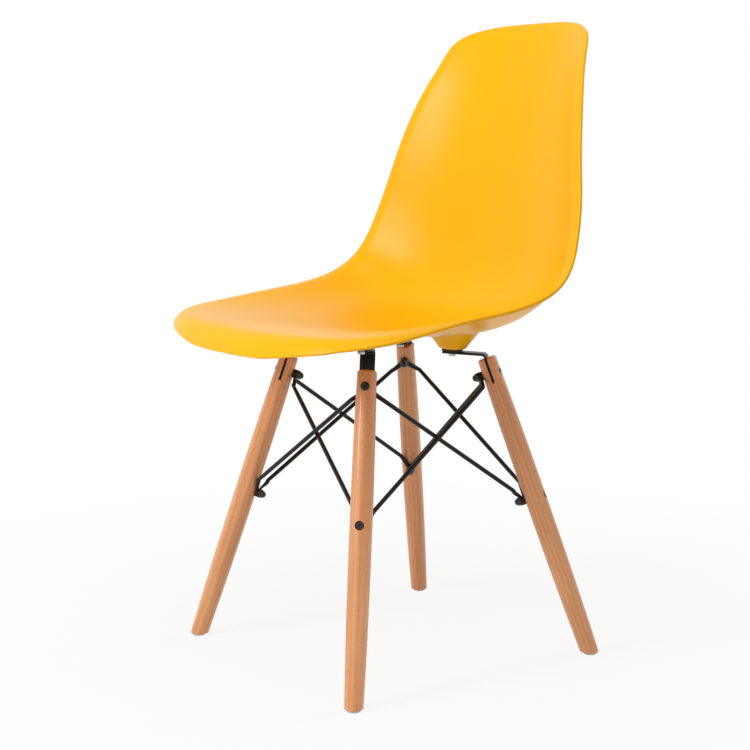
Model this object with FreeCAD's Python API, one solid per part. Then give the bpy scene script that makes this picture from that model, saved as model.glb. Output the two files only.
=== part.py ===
import FreeCAD, Part

import math
import os

from FreeCAD import Vector
Vector2d = FreeCAD.Base.Vector2d

# Side chair: a one-piece moulded seat shell on four splayed turned wooden legs, held by steel brackets
# and crossed steel rods. Millimetres, +Z up, the front of the chair faces -Y, the sitter's left is +X.

# Seat shell
SHELL_THICKNESS = 4.5
# Height of the lowest place of the seat above the tops of the legs
SEAT_RISE = 33.2
# Cross sections of the sitting face from the front lip to the top of the back, before its rim rolls over:
# centre (y, z), edge (x, y, z), radius of the rolled rim there, the angle that it turns through,
# and how flat the section stays before it rises to its edge. Heights are above the seat's lowest place.
SHELL_SECTIONS = [
    ((-247, 23), (234, -247, 24.5), 30, 78, 2.5),
    ((-190, 23.5), (236.5, -190, 28), 26, 54, 2.5),
    ((-130, 18.5), (235, -130, 34.5), 26, 50, 2.5),
    ((-60, 9), (232, -60, 44), 25, 46, 2.5),
    ((0, 2), (232, 0, 50), 24, 45, 2.7),
    ((50, 0), (232, 48, 58), 24, 45, 2.9),
    ((98, 6), (231, 86, 72.5), 24, 45, 2.9),
    ((138, 25), (225.5, 111.5, 97.5), 24, 45, 2.8),
    ((164, 61), (217.5, 127, 133), 24, 45, 2.7),
    ((179, 109), (208, 139.5, 174), 24, 45, 2.6),
    ((190, 169), (195.5, 149.5, 219), 24, 45, 2.5),
    ((203, 234), (182, 162, 265), 24, 45, 2.5),
    ((217, 294), (166.5, 178.5, 310), 24, 42, 2.5),
    ((231, 347), (150, 200, 352), 22, 36, 2.5),
    ((247, 399), (136, 224, 398.5), 20, 30, 2.5),
]
# The outline's rounded ends, in sections along the shell, and how square each of them is
FRONT_ROUNDING = 2.1
FRONT_SQUARENESS = 2.5
TOP_ROUNDING = 0.85
TOP_SQUARENESS = 3.4
# How finely the outline is drawn, and how far the faces are drawn past it, in sections and in widths
RIM_STEPS = 24
MARGIN_T = 0.2
MARGIN_Q = 0.06

# Bosses under the shell, where the brackets are bolted on
FRONT_BOSS_RADIUS = 25.0
REAR_BOSS_RADIUS = 17.0
BOSS_FLARE = 0.77
BOSS_HEIGHT = 40.0
INSERT_RADIUS = 4.5
INSERT_LENGTH = 9.0
PAD_TOP_RADIUS = 12.7
PAD_BOTTOM_RADIUS = 14.0
PAD_THICKNESS = 3.5

# Legs: each stands on its foot point and leans in by a slope in x and in y
FOOT_X = 190.5
FOOT_Y = 186.0
LEAN_X = 0.257
LEAN_Y = 0.239
LEG_LENGTH = 411.0
# Radius of the turned leg at shares of its length along its axis from the floor
LEG_SHAPE = [
    (-0.03, 11.0), (0.073, 12.2), (0.219, 13.2), (0.365, 13.8),
    (0.535, 14.0), (0.73, 13.7), (0.876, 13.0), (0.985, 12.2),
]
LEG_PROFILE = [(share * LEG_LENGTH, radius) for share, radius in LEG_SHAPE]
LEG_TOP_ROUNDING = 3.0
GLIDE_RADIUS = 8.5
GLIDE_HEIGHT = 3.0
GLIDE_CHAMFER = 0.6
NAIL_RADIUS = 1.1
NAIL_LENGTH = 16.0
NAIL_TIP_GAP = 1.0
NAIL_HEAD_RADIUS = 2.8
NAIL_HEAD_THICKNESS = 0.8
NAIL_RECESS = 1.6

# Brackets: a flat steel bar in a sawn slot of each leg, bent over to a boss of the shell
BAR_WIDTH = 19.0
BAR_THICKNESS = 3.0
BAR_BEND_RADIUS = 5.0
# The upper bolt's distance from the leg's top, and the slot's depth below that bolt
UPPER_BOLT_DEPTH = 21.0
UPPER_BOLT = LEG_LENGTH - UPPER_BOLT_DEPTH
SLOT_BELOW_BOLT = 12.5
SLOT_BOTTOM = UPPER_BOLT - SLOT_BELOW_BOLT
SLOT_END_GAP = 1.0
SLOT_GAP = 0.3
# Front arms reach out of the base and rise outwards, rear arms reach in and rise inwards:
# reach of the seat bolt from the leg's axis, height of the arm there above the leg's top, and slope
FRONT_ARM_REACH = 44.0
FRONT_ARM_RISE = 33.7
FRONT_ARM_TILT = 8.0
REAR_ARM_REACH = -45.0
REAR_ARM_RISE = 8.1
REAR_ARM_TILT = 3.0

# Bolts
LOWER_BOLT_DEPTH = 192.0
LOWER_BOLT = LEG_LENGTH - LOWER_BOLT_DEPTH
BOLT_RADIUS = 3.0
BOLT_CLEARANCE = 0.3
BOLT_HEAD_RADIUS = 5.5
BOLT_HEAD_THICKNESS = 3.2
BOLT_HEAD_FACE = 12.0
BOLT_SOCKET = 4.0
BOLT_SOCKET_DEPTH = 2.0
SEAT_BOLT_RADIUS = 2.5
SEAT_BOLT_HEAD_WIDTH = 8.0
SEAT_BOLT_HEAD_HEIGHT = 4.0
SEAT_BOLT_END_RADIUS = 3.7
SEAT_BOLT_GRIP = 7.0
NUT_FLANGE_RADIUS = 6.2
NUT_FLANGE_THICKNESS = 1.2
NUT_WIDTH = 10.0
NUT_ROUND_RADIUS = 5.5
NUT_BODY_HEIGHT = 3.4
NUT_DOME_RADIUS = 4.7
NUT_THREAD_DEPTH = 5.4

# Crossed rods: round bar with flattened eyes at its ends. The bars are set over from their eyes,
# outer ones towards the leg and inner ones away from it, so that the two of a side pass each other.
ROD_RADIUS = 2.8
OUTER_SET = 0.4
INNER_SET = 4.8
EYE_RADIUS = 6.0
EYE_THICKNESS = 2.4
LEG_TO_EYE = 0.3
TONGUE_HALF_WIDTH = 3.4
# From an eye's centre to where its tongue starts to slope, and to where the round bar starts
TONGUE_FLAT = 6.6
OUTER_TONGUE = 16.0
INNER_TONGUE = 13.0

CORNERS = {
    "front_right": (-1, -1),
    "front_left": (1, -1),
    "rear_left": (1, 1),
    "rear_right": (-1, 1),
}
# Each side's outer rod runs from the upper bolt of the first leg to the lower bolt of the second
SIDES = {
    "front": ("front_left", "front_right"),
    "left": ("rear_left", "front_left"),
    "rear": ("rear_right", "rear_left"),
    "right": ("front_right", "rear_right"),
}


# Smooth curves

def spline(values):
    """Natural cubic spline through values at 0, 1, 2 and so on."""
    count = len(values)
    upper = [0.0] * count
    right = [0.0] * count
    for i in range(1, count - 1):
        bend = 3.0 * (values[i + 1] - 2.0 * values[i] + values[i - 1])
        pivot = 4.0 - upper[i - 1]
        upper[i] = 1.0 / pivot
        right[i] = (bend - right[i - 1]) / pivot
    curve = [0.0] * count
    for i in range(count - 2, 0, -1):
        curve[i] = right[i] - upper[i] * curve[i + 1]

    def value(t):
        i = max(0, min(count - 2, int(math.floor(t))))
        u = t - i
        slope = values[i + 1] - values[i] - (2.0 * curve[i] + curve[i + 1]) / 3.0
        return values[i] + u * (slope + u * (curve[i] + u * (curve[i + 1] - curve[i]) / 3.0))

    return value


LAST_SECTION = len(SHELL_SECTIONS) - 1
LEG_TOP = LEG_LENGTH / math.sqrt(1 + LEAN_X ** 2 + LEAN_Y ** 2)
SEAT_LOW = LEG_TOP + SEAT_RISE
centre_y = spline([s[0][0] for s in SHELL_SECTIONS])
centre_z = spline([SEAT_LOW + s[0][1] for s in SHELL_SECTIONS])
edge_x = spline([s[1][0] for s in SHELL_SECTIONS])
edge_y = spline([s[1][1] for s in SHELL_SECTIONS])
edge_z = spline([SEAT_LOW + s[1][2] for s in SHELL_SECTIONS])
roll_radius = spline([s[2] for s in SHELL_SECTIONS])
roll_angle = spline([s[3] for s in SHELL_SECTIONS])
fullness = spline([s[4] for s in SHELL_SECTIONS])


# Seat shell

def bowl_point(t, q):
    """Point of the bowl at section t, q running from -1 at the right edge to 1 at the left edge."""
    rise = abs(q) ** fullness(t)
    y = centre_y(t) + (edge_y(t) - centre_y(t)) * rise
    z = centre_z(t) + (edge_z(t) - centre_z(t)) * rise
    return Vector(edge_x(t) * q, y, z)


def across(point_at, t, q, step=0.002):
    """Unit normal of a surface point_at(t, q), on the side where one sits."""
    along = point_at(t + step, q) - point_at(t - step, q)
    side = point_at(t, q + step) - point_at(t, q - step)
    return side.cross(along).normalize()


def outline_points(count):
    """The left half of the outline as (t, q), from the middle of the front to the middle of the top."""
    points = []
    for i in range(count + 1):
        turn = math.pi / 2 * i / count
        t = FRONT_ROUNDING * (1 - math.cos(turn) ** (2 / FRONT_SQUARENESS))
        points.append((t, math.sin(turn) ** (2 / FRONT_SQUARENESS)))
    first = FRONT_ROUNDING
    last = LAST_SECTION - TOP_ROUNDING
    for i in range(1, 2 * count):
        points.append((first + (last - first) * i / (2 * count), 1.0))
    for i in range(count + 1):
        turn = math.pi / 2 * (1 - i / count)
        t = LAST_SECTION - TOP_ROUNDING * (1 - math.cos(turn) ** (2 / TOP_SQUARENESS))
        points.append((t, math.sin(turn) ** (2 / TOP_SQUARENESS)))
    return points


def width_limit(t):
    """How far the outline reaches at section t, as a share of the section's width."""
    share = 0.0
    power = 2.0
    if t < FRONT_ROUNDING:
        share = (FRONT_ROUNDING - t) / FRONT_ROUNDING
        power = FRONT_SQUARENESS
    if t > LAST_SECTION - TOP_ROUNDING:
        share = (t - LAST_SECTION + TOP_ROUNDING) / TOP_ROUNDING
        power = TOP_SQUARENESS
    return max(0.0, 1.0 - share ** power) ** (1.0 / power)


half = [bowl_point(t, q) for t, q in outline_points(RIM_STEPS)]
RIM_LINE = half + [Vector(-p.x, p.y, p.z) for p in reversed(half)]


def distance_inside(t, q):
    """Distance from the outline, negative outside it."""
    point = bowl_point(t, q)
    best = 1e9
    for a, b in zip(RIM_LINE, RIM_LINE[1:]):
        run = b - a
        length = run.dot(run)
        share = 0.0
        if length > 0:
            share = max(0.0, min(1.0, (point - a).dot(run) / length))
        best = min(best, (a + run * share - point).Length)
    if abs(q) > width_limit(t):
        return -best
    return best


def sitting_face(t, q):
    """Point of the sitting face: the bowl with its rim rolled over."""
    radius = roll_radius(t)
    turn = math.radians(roll_angle(t))
    band = radius * math.sin(turn)
    reach = band - distance_inside(t, q)
    point = bowl_point(t, q)
    if reach <= 0:
        return point
    held = min(reach, band)
    drop = radius - math.sqrt(radius * radius - held * held) + (reach - held) * math.tan(turn)
    return point - across(bowl_point, t, q) * drop


def knot_line(pieces):
    """Knots from (start, end, count) pieces that follow one another."""
    knots = [pieces[0][0]]
    for start, end, count in pieces:
        knots += [start + (end - start) * (i + 1) / count for i in range(count)]
    return knots


def pole_places(knots, degree=3):
    """Parameters at which the poles of a clamped spline sit, so that it keeps the parameters given."""
    full = [knots[0]] * degree + knots + [knots[-1]] * degree
    return [sum(full[i + 1:i + 1 + degree]) / degree for i in range(len(knots) + degree - 1)]


def spline_surface(poles, knots_t, knots_q, degree=3):
    """Bicubic surface with the given poles."""
    ends_t = [degree + 1] + [1] * (len(knots_t) - 2) + [degree + 1]
    ends_q = [degree + 1] + [1] * (len(knots_q) - 2) + [degree + 1]
    surface = Part.BSplineSurface()
    surface.buildFromPolesMultsKnots(
        poles, ends_t, ends_q, knots_t, knots_q, False, False, degree, degree)
    return surface


def shell_surfaces():
    """The sitting face and the underside, as spline surfaces that reach a little past the rim."""
    knots_t = knot_line([
        (-MARGIN_T, 0.9, 10), (0.9, 2.1, 8), (2.1, 12.6, 24), (12.6, LAST_SECTION + MARGIN_T, 12)])
    half_q = knot_line([(0.1, 0.5, 3), (0.5, 0.8, 6), (0.8, 1 + MARGIN_Q, 8)])
    knots_q = [-q for q in reversed(half_q)] + half_q
    places_t = pole_places(knots_t)
    places_q = pole_places(knots_q)
    top = []
    bottom = []
    for t in places_t:
        top_row = []
        bottom_row = []
        for q in places_q:
            side = -1 if q < 0 else 1
            point = sitting_face(t, abs(q))
            under = point - across(sitting_face, t, abs(q)) * SHELL_THICKNESS
            top_row.append(Vector(point.x * side, point.y, point.z))
            bottom_row.append(Vector(under.x * side, under.y, under.z))
        top.append(top_row)
        bottom.append(bottom_row)
    return spline_surface(top, knots_t, knots_q), spline_surface(bottom, knots_t, knots_q)


def rim_wire(surface):
    """The outline drawn on a surface, as a left and a right edge."""
    left = outline_points(RIM_STEPS // 2)
    edges = []
    for side in (left, [(t, -q) for t, q in reversed(left)]):
        curve = Part.Geom2d.BSplineCurve2d()
        curve.interpolate([Vector2d(t, q) for t, q in side])
        edges.append(curve.toShape(surface))
    return Part.Wire(edges)


def bare_shell():
    """The shell without its bosses."""
    faces = []
    for surface in shell_surfaces():
        face = Part.Face(surface, rim_wire(surface))
        face.validate()
        faces.append(face)
    for a, b in zip(faces[0].OuterWire.Edges, faces[1].OuterWire.Edges):
        faces.append(Part.makeRuledSurface(a, b))
    skin = Part.makeShell(faces)
    skin.sewShape()
    solid = Part.Solid(skin)
    if solid.Volume < 0:
        solid.reverse()
    return solid


# Places on the base

class Corner:
    """Directions and places at one leg."""

    def __init__(self, name):
        side_x, side_y = CORNERS[name]
        lean = math.hypot(LEAN_X, LEAN_Y)
        self.front = side_y < 0
        self.lean = lean
        self.foot = Vector(side_x * FOOT_X, side_y * FOOT_Y, 0)
        self.level_out = Vector(side_x * LEAN_X / lean, side_y * LEAN_Y / lean, 0)
        self.up = (Vector(0, 0, 1) - self.level_out * lean).normalize()
        self.out = (self.level_out - self.up * self.level_out.dot(self.up)).normalize()
        self.side = self.up.cross(self.out)
        reach, rise, tilt = REAR_ARM_REACH, REAR_ARM_RISE, REAR_ARM_TILT
        if self.front:
            reach, rise, tilt = FRONT_ARM_REACH, FRONT_ARM_RISE, FRONT_ARM_TILT
        self.tilt = math.radians(tilt)
        self.arm_way = 1 if self.front else -1
        self.arm_s = reach - lean * LEG_TOP
        self.arm_z = LEG_TOP + rise
        level_part = self.level_out * (self.arm_way * math.sin(self.tilt))
        self.bolt_up = Vector(0, 0, math.cos(self.tilt)) - level_part
        self.arm_top = self.foot + self.level_out * self.arm_s + Vector(0, 0, self.arm_z)

    def place(self, solid):
        """Move a solid drawn with the leg's axis on Z and outwards on X to this leg."""
        m = FreeCAD.Matrix()
        m.A11, m.A21, m.A31 = self.out
        m.A12, m.A22, m.A32 = self.side
        m.A13, m.A23, m.A33 = self.up
        m.A14, m.A24, m.A34 = self.foot
        return solid.transformed(m)

    def place_upright(self, solid):
        """Move a solid drawn with outwards level on X and up on Z to this leg's foot point."""
        m = FreeCAD.Matrix()
        m.A11, m.A21, m.A31 = self.level_out
        m.A12, m.A22, m.A32 = self.side
        m.A14, m.A24, m.A34 = self.foot
        return solid.transformed(m)

    def on_bolt(self, along, outwards):
        """Point on a leg bolt's axis."""
        return self.foot + self.up * along + self.out * outwards


corners = {name: Corner(name) for name in CORNERS}


def cylinder(radius, start, end):
    """Round bar between two points."""
    run = end - start
    return Part.makeCylinder(radius, run.Length, start, run)


def hexagon(width, height, start, direction):
    """Hexagonal prism, width across its flats."""
    points = []
    point_radius = width / math.sqrt(3)
    for i in range(7):
        turn = math.radians(60 * i + 30)
        points.append(Vector(point_radius * math.cos(turn), point_radius * math.sin(turn), 0))
    prism = Part.Face(Part.makePolygon(points)).extrude(Vector(0, 0, height))
    prism.Placement = FreeCAD.Placement(start, FreeCAD.Rotation(Vector(0, 0, 1), direction))
    return prism


# Bosses, pads and inserts

def boss_bottom(corner):
    """Middle of a boss's flat end, where its pad lies."""
    return corner.arm_top + corner.bolt_up * PAD_THICKNESS


def boss(corner, shell):
    """Flared boss from its flat end up to the shell's underside."""
    radius = FRONT_BOSS_RADIUS if corner.front else REAR_BOSS_RADIUS
    wide = radius + BOSS_FLARE * BOSS_HEIGHT
    cone = Part.makeCone(radius, wide, BOSS_HEIGHT, boss_bottom(corner), corner.bolt_up)
    pieces = cone.cut(shell).Solids
    return min(pieces, key=lambda piece: piece.CenterOfMass.z)


def seat_shell():
    """The moulded shell with its four bosses, bored for the inserts."""
    shell = bare_shell()
    bosses = [boss(corner, shell) for corner in corners.values()]
    shell = shell.fuse(bosses)
    for corner in corners.values():
        start = boss_bottom(corner)
        end = start + corner.bolt_up * INSERT_LENGTH
        shell = shell.cut(cylinder(INSERT_RADIUS + BOLT_CLEARANCE, start, end))
    return shell.Solids[0]


def seat_insert(corner):
    """Threaded insert in a boss."""
    start = boss_bottom(corner)
    end = start + corner.bolt_up * INSERT_LENGTH
    body = cylinder(INSERT_RADIUS, start, end)
    return body.cut(cylinder(SEAT_BOLT_RADIUS + BOLT_CLEARANCE, start, end))


def seat_pad(corner):
    """Rubber pad between a bracket and a boss."""
    body = Part.makeCone(PAD_BOTTOM_RADIUS, PAD_TOP_RADIUS, PAD_THICKNESS, corner.arm_top, corner.bolt_up)
    return body.cut(cylinder(SEAT_BOLT_RADIUS + BOLT_CLEARANCE, corner.arm_top, boss_bottom(corner)))


def seat_bolt(corner):
    """Hexagon bolt from below a bracket's arm into its insert."""
    under = corner.arm_top - corner.bolt_up * BAR_THICKNESS
    head_end = under - corner.bolt_up * SEAT_BOLT_HEAD_HEIGHT
    head = hexagon(SEAT_BOLT_HEAD_WIDTH, SEAT_BOLT_HEAD_HEIGHT, head_end, corner.bolt_up)
    wide = SEAT_BOLT_END_RADIUS + SEAT_BOLT_HEAD_HEIGHT * 2
    chamfer = Part.makeCone(SEAT_BOLT_END_RADIUS, wide, SEAT_BOLT_HEAD_HEIGHT, head_end, corner.bolt_up)
    shank = cylinder(SEAT_BOLT_RADIUS, under, boss_bottom(corner) + corner.bolt_up * SEAT_BOLT_GRIP)
    return head.common(chamfer).fuse(shank).removeSplitter()


# Brackets

def bar_outline(path):
    """Side view of a flat bar that follows three points with one rounded bend, in x and z."""
    start, corner, end = path
    first = (corner - start).normalize()
    second = (end - corner).normalize()
    turn = math.acos(first.dot(second))
    back = BAR_BEND_RADIUS * math.tan(turn / 2)
    bend_in = corner - first * back
    bend_out = corner + second * back
    toward = (second - first).normalize()
    middle = corner + toward * (BAR_BEND_RADIUS / math.cos(turn / 2))
    lines = []
    for side in (-1, 1):
        rise = BAR_THICKNESS / 2 * side
        radius = BAR_BEND_RADIUS + rise
        a = middle + (bend_in - middle).normalize() * radius
        b = middle + (bend_out - middle).normalize() * radius
        crown = middle - toward * radius
        shift_a = (bend_in - middle).normalize() * rise
        shift_b = (bend_out - middle).normalize() * rise
        lines.append((start + shift_a, a, crown, b, end + shift_b))
    inner, outer = lines
    edges = []
    for line in (inner, outer):
        edges.append(Part.makeLine(line[0], line[1]))
        edges.append(Part.Arc(line[1], line[2], line[3]).toShape())
        edges.append(Part.makeLine(line[3], line[4]))
    edges.append(Part.makeLine(inner[0], outer[0]))
    edges.append(Part.makeLine(inner[4], outer[4]))
    return Part.Face(Part.Wire(Part.__sortEdges__(edges)))


def bracket(corner):
    """Bent flat bar from a leg's slot to under a boss."""
    slope = corner.arm_way * math.tan(corner.tilt)
    middle_s = corner.arm_s + corner.arm_way * math.sin(corner.tilt) * BAR_THICKNESS / 2
    middle_z = corner.arm_z - math.cos(corner.tilt) * BAR_THICKNESS / 2
    bend_z = (middle_z - slope * middle_s) / (1 + slope * corner.lean)
    foot_z = (SLOT_BOTTOM + SLOT_END_GAP) / math.sqrt(1 + corner.lean ** 2)
    arm_end = corner.arm_way * (BAR_WIDTH / 2 + PAD_BOTTOM_RADIUS) / 2
    path = (
        Vector(-corner.lean * foot_z, 0, foot_z),
        Vector(-corner.lean * bend_z, 0, bend_z),
        Vector(middle_s + arm_end, 0, middle_z + slope * arm_end),
    )
    face = bar_outline(path)
    face.translate(Vector(0, -BAR_WIDTH / 2, 0))
    bar = corner.place_upright(face.extrude(Vector(0, BAR_WIDTH, 0)))
    below = corner.arm_top - corner.bolt_up * 2 * BAR_THICKNESS
    bar = bar.cut(cylinder(SEAT_BOLT_RADIUS + BOLT_CLEARANCE, below, boss_bottom(corner)))
    inside = corner.on_bolt(UPPER_BOLT, -BAR_WIDTH)
    outside = corner.on_bolt(UPPER_BOLT, BAR_WIDTH)
    return bar.cut(cylinder(BOLT_RADIUS + BOLT_CLEARANCE, inside, outside))


# Legs and glides

def leg(corner):
    """Turned leg, sawn for its bracket, bored for two bolts and cut level at the floor."""
    side = Part.BSplineCurve()
    side.interpolate([Vector(radius, 0, along) for along, radius in LEG_PROFILE])
    shoulder_along, shoulder = LEG_PROFILE[-1]
    top_radius = shoulder - LEG_TOP_ROUNDING
    bulge = LEG_TOP_ROUNDING * (1 - math.sqrt(0.5))
    start = Vector(shoulder, 0, shoulder_along)
    level = LEG_LENGTH - LEG_TOP_ROUNDING
    low = Vector(shoulder, 0, level)
    rim = Part.Arc(low, Vector(shoulder - bulge, 0, LEG_LENGTH - bulge), Vector(top_radius, 0, LEG_LENGTH))
    bottom_along, bottom = LEG_PROFILE[0]
    edges = [
        Part.makeLine(Vector(0, 0, bottom_along), Vector(bottom, 0, bottom_along)),
        side.toShape(),
        Part.makeLine(start, low),
        rim.toShape(),
        Part.makeLine(Vector(top_radius, 0, LEG_LENGTH), Vector(0, 0, LEG_LENGTH)),
        Part.makeLine(Vector(0, 0, LEG_LENGTH), Vector(0, 0, bottom_along)),
    ]
    body = Part.Face(Part.Wire(edges)).revolve(Vector(0, 0, 0), Vector(0, 0, 1), 360)
    slot_width = BAR_THICKNESS + 2 * SLOT_GAP
    right_through = 4 * shoulder
    slot_start = Vector(-slot_width / 2, -right_through / 2, SLOT_BOTTOM)
    body = body.cut(Part.makeBox(slot_width, right_through, LEG_LENGTH, slot_start))
    sink = BOLT_HEAD_FACE - BOLT_HEAD_THICKNESS
    for along in (UPPER_BOLT, LOWER_BOLT):
        body = body.cut(Part.makeCylinder(
            BOLT_RADIUS + BOLT_CLEARANCE, right_through,
            Vector(-right_through / 2, 0, along), Vector(1, 0, 0)))
        body = body.cut(Part.makeCylinder(
            BOLT_HEAD_RADIUS + BOLT_CLEARANCE, shoulder, Vector(sink, 0, along), Vector(1, 0, 0)))
    body = corner.place(body)
    half = right_through / 2
    ground_start = corner.foot + Vector(-half, -half, GLIDE_HEIGHT - right_through)
    ground = Part.makeBox(right_through, right_through, right_through, ground_start)
    nail_end = corner.foot + Vector(0, 0, NAIL_LENGTH + NAIL_TIP_GAP)
    return body.cut(ground).cut(cylinder(NAIL_RADIUS + BOLT_CLEARANCE, corner.foot, nail_end))


def glide(corner):
    """Nylon pad nailed under a leg."""
    foot = corner.foot
    pad = Part.makeCylinder(GLIDE_RADIUS, GLIDE_HEIGHT, foot)
    pad = pad.makeChamfer(GLIDE_CHAMFER, [pad.Edges[2]])
    pad = pad.cut(cylinder(NAIL_RADIUS + BOLT_CLEARANCE, foot, foot + Vector(0, 0, GLIDE_HEIGHT)))
    return pad.cut(cylinder(NAIL_HEAD_RADIUS + BOLT_CLEARANCE, foot, foot + Vector(0, 0, NAIL_RECESS)))


def glide_nail(corner):
    """Nail that holds a glide."""
    top = corner.foot + Vector(0, 0, NAIL_RECESS)
    head = cylinder(NAIL_HEAD_RADIUS, top - Vector(0, 0, NAIL_HEAD_THICKNESS), top)
    return head.fuse(cylinder(NAIL_RADIUS, top, corner.foot + Vector(0, 0, NAIL_LENGTH))).removeSplitter()


# Leg bolts and nuts

def leg_radius(along):
    """Radius of the turned leg at a distance along its axis."""
    for (low, a), (high, b) in zip(LEG_PROFILE, LEG_PROFILE[1:]):
        if low <= along <= high:
            return a + (b - a) * (along - low) / (high - low)
    return LEG_PROFILE[-1][1]


def eye_face(along, place):
    """Distance inwards from the leg's axis to the outer face of the first or second eye on a bolt."""
    return leg_radius(along) + LEG_TO_EYE + place * EYE_THICKNESS


def leg_bolt(corner, along):
    """Socket-head bolt through a leg and two rod eyes into its nut."""
    face = corner.on_bolt(along, BOLT_HEAD_FACE)
    under = corner.on_bolt(along, BOLT_HEAD_FACE - BOLT_HEAD_THICKNESS)
    tip = corner.on_bolt(along, -(eye_face(along, 2) + NUT_THREAD_DEPTH))
    head = cylinder(BOLT_HEAD_RADIUS, under, face)
    socket = hexagon(BOLT_SOCKET, BOLT_SOCKET_DEPTH, face - corner.out * BOLT_SOCKET_DEPTH, corner.out)
    return head.cut(socket).fuse(cylinder(BOLT_RADIUS, tip, under)).removeSplitter()


def cap_nut(corner, along, with_hexagon):
    """Domed nut on the end of a leg bolt."""
    start = corner.on_bolt(along, -eye_face(along, 2))
    inwards = corner.out * -1
    body_top = start + inwards * (NUT_FLANGE_THICKNESS + NUT_BODY_HEIGHT)
    flange = cylinder(NUT_FLANGE_RADIUS, start, start + inwards * NUT_FLANGE_THICKNESS)
    if with_hexagon:
        body = hexagon(NUT_WIDTH, NUT_BODY_HEIGHT, start + inwards * NUT_FLANGE_THICKNESS, inwards)
    else:
        body = cylinder(NUT_ROUND_RADIUS, start + inwards * NUT_FLANGE_THICKNESS, body_top)
    dome = Part.makeSphere(NUT_DOME_RADIUS, body_top, inwards, 0, 90, 360)
    bore = cylinder(BOLT_RADIUS + BOLT_CLEARANCE, start, start + inwards * NUT_THREAD_DEPTH)
    return flange.fuse([body, dome]).cut(bore).removeSplitter()


# Rods

def tongue_solid(eye, way, out, length, offset):
    """Flat tongue from an eye to the start of its set-over bar."""
    half = EYE_THICKNESS / 2
    wide = out.cross(way)
    profile = [
        (0, -half), (TONGUE_FLAT, -half), (length, offset - half),
        (length, offset + half), (TONGUE_FLAT, half), (0, half), (0, -half),
    ]
    edge = eye - wide * TONGUE_HALF_WIDTH
    line = Part.makePolygon([edge + way * along + out * over for along, over in profile])
    return Part.Face(line).extrude(wide * (2 * TONGUE_HALF_WIDTH))


def rod(upper, lower, place, length, offset):
    """Rod from the upper bolt of one leg to the lower bolt of another, eyes at the given stack place."""
    ends = []
    for corner, along in ((upper, UPPER_BOLT), (lower, LOWER_BOLT)):
        ends.append((corner.out, corner.on_bolt(along, -(eye_face(along, place) + EYE_THICKNESS / 2))))
    solids = []
    holes = []
    bar_ends = []
    for (out, eye), (_, other) in (ends, ends[::-1]):
        way = other - eye
        way = (way - out * way.dot(out)).normalize()
        half_eye = out * (EYE_THICKNESS / 2)
        bar_end = eye + way * length + out * offset
        bar_ends.append(bar_end)
        solids.append(cylinder(EYE_RADIUS, eye - half_eye, eye + half_eye))
        solids.append(tongue_solid(eye, way, out, length, offset))
        solids.append(Part.makeSphere(ROD_RADIUS, bar_end))
        holes.append(cylinder(BOLT_RADIUS + BOLT_CLEARANCE, eye - half_eye * 2, eye + half_eye * 2))
    body = cylinder(ROD_RADIUS, bar_ends[0], bar_ends[1])
    for solid in solids:
        body = body.fuse(solid)
    for hole in holes:
        body = body.cut(hole)
    return body.removeSplitter()


# All the pieces

def all_nodes():
    """Every node's name with its solids."""
    nodes = {"seat_shell": [seat_shell()]}
    nodes["seat_inserts"] = [seat_insert(corner) for corner in corners.values()]
    nodes["seat_bolts"] = [seat_bolt(corner) for corner in corners.values()]
    nodes["leg_bolts_upper"] = [leg_bolt(corner, UPPER_BOLT) for corner in corners.values()]
    nodes["leg_bolts_lower"] = [leg_bolt(corner, LOWER_BOLT) for corner in corners.values()]
    nodes["cap_nuts_upper"] = [cap_nut(corner, UPPER_BOLT, True) for corner in corners.values()]
    nodes["cap_nuts_lower"] = [cap_nut(corner, LOWER_BOLT, False) for corner in corners.values()]
    nodes["glide_nails"] = [glide_nail(corner) for corner in corners.values()]
    for name, corner in corners.items():
        nodes["leg_" + name] = [leg(corner)]
        nodes["glide_" + name] = [glide(corner)]
        nodes["bracket_" + name] = [bracket(corner)]
        nodes["seat_pad_" + name] = [seat_pad(corner)]
    for side, (first, second) in SIDES.items():
        a = corners[first]
        b = corners[second]
        nodes["rod_" + side + "_outer"] = [rod(a, b, 0, OUTER_TONGUE, OUTER_SET)]
        nodes["rod_" + side + "_inner"] = [rod(b, a, 1, INNER_TONGUE, -INNER_SET)]
    return nodes


def centring(nodes):
    """Move that puts the middle of the chair's outside box over the origin."""
    box = FreeCAD.BoundBox()
    for solids in nodes.values():
        for solid in solids:
            box.add(solid.optimalBoundingBox(False))
    return Vector(-box.Center.x, -box.Center.y, -box.ZMin)


os.makedirs("parts", exist_ok=True)
pieces = all_nodes()
shift = centring(pieces)
for node, solids in pieces.items():
    shape = solids[0] if len(solids) == 1 else Part.makeCompound(solids)
    shape.translate(shift)
    shape.exportStep("parts/" + node + ".step")
    print(node, len(solids), all(s.isValid() and s.isClosed() for s in solids), round(shape.Volume, 1))
print("moved by", tuple(round(v, 3) for v in shift))
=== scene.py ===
import math

import bmesh
import bpy
import numpy as np
from mathutils import Matrix, Vector


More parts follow.
